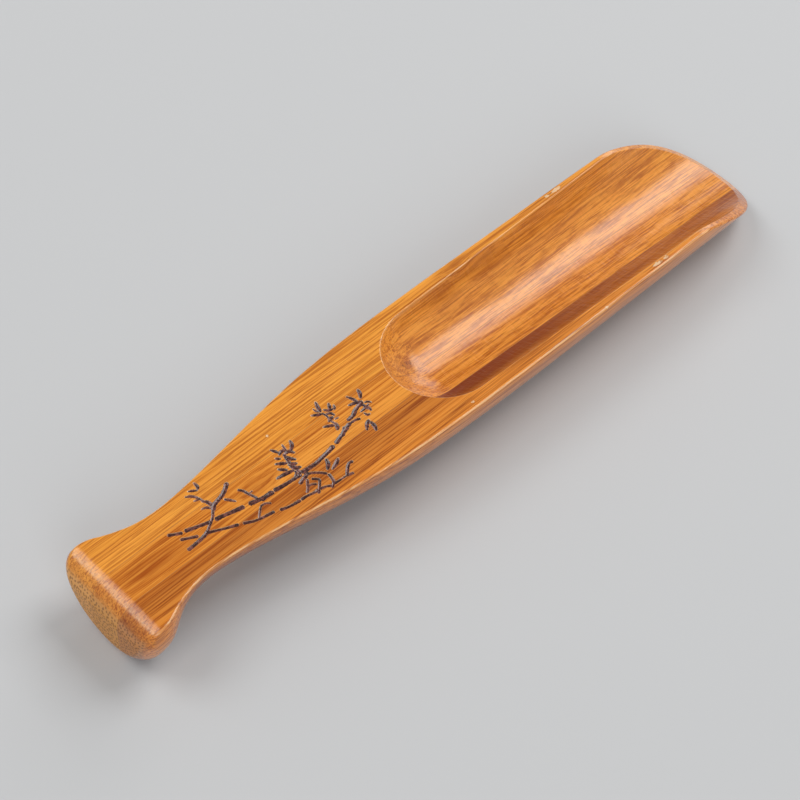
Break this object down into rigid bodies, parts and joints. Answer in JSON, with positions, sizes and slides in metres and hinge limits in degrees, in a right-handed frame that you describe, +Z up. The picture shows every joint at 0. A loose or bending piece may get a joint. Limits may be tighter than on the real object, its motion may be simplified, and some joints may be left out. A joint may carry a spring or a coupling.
{
  "type": "tea scoop",
  "caption": "Half-round tea scoop of laminated bamboo with a flat-faced tapered handle, a knobbed butt and an open trough bowl that ends in a raked lip.",
  "frame": {"origin": "on the table below the middle of the scoop's box, half way between the butt end and the lip", "axes": "+X from the knob at the butt to the open lip, +Y to the left of somebody who holds the knob, +Z up out of the flat face and the bowl"},
  "size_m": [0.18, 0.0322, 0.0165],
  "materials": {
    "bamboo_light": "clear lacquer over carbonised bamboo, satin to gloss",
    "bamboo_middle": "clear lacquer over carbonised bamboo, satin to gloss",
    "bamboo_dark": "clear lacquer over carbonised bamboo, satin to gloss",
    "wood_glue": "dried film of wood glue under the lacquer"
  },
  "bodies": {
    "root": {"strip_left": "bamboo_light", "strip_middle": "bamboo_middle", "strip_right": "bamboo_dark", "glue_line_left": "wood_glue", "glue_line_right": "wood_glue"}
  },
  "joints": []
}
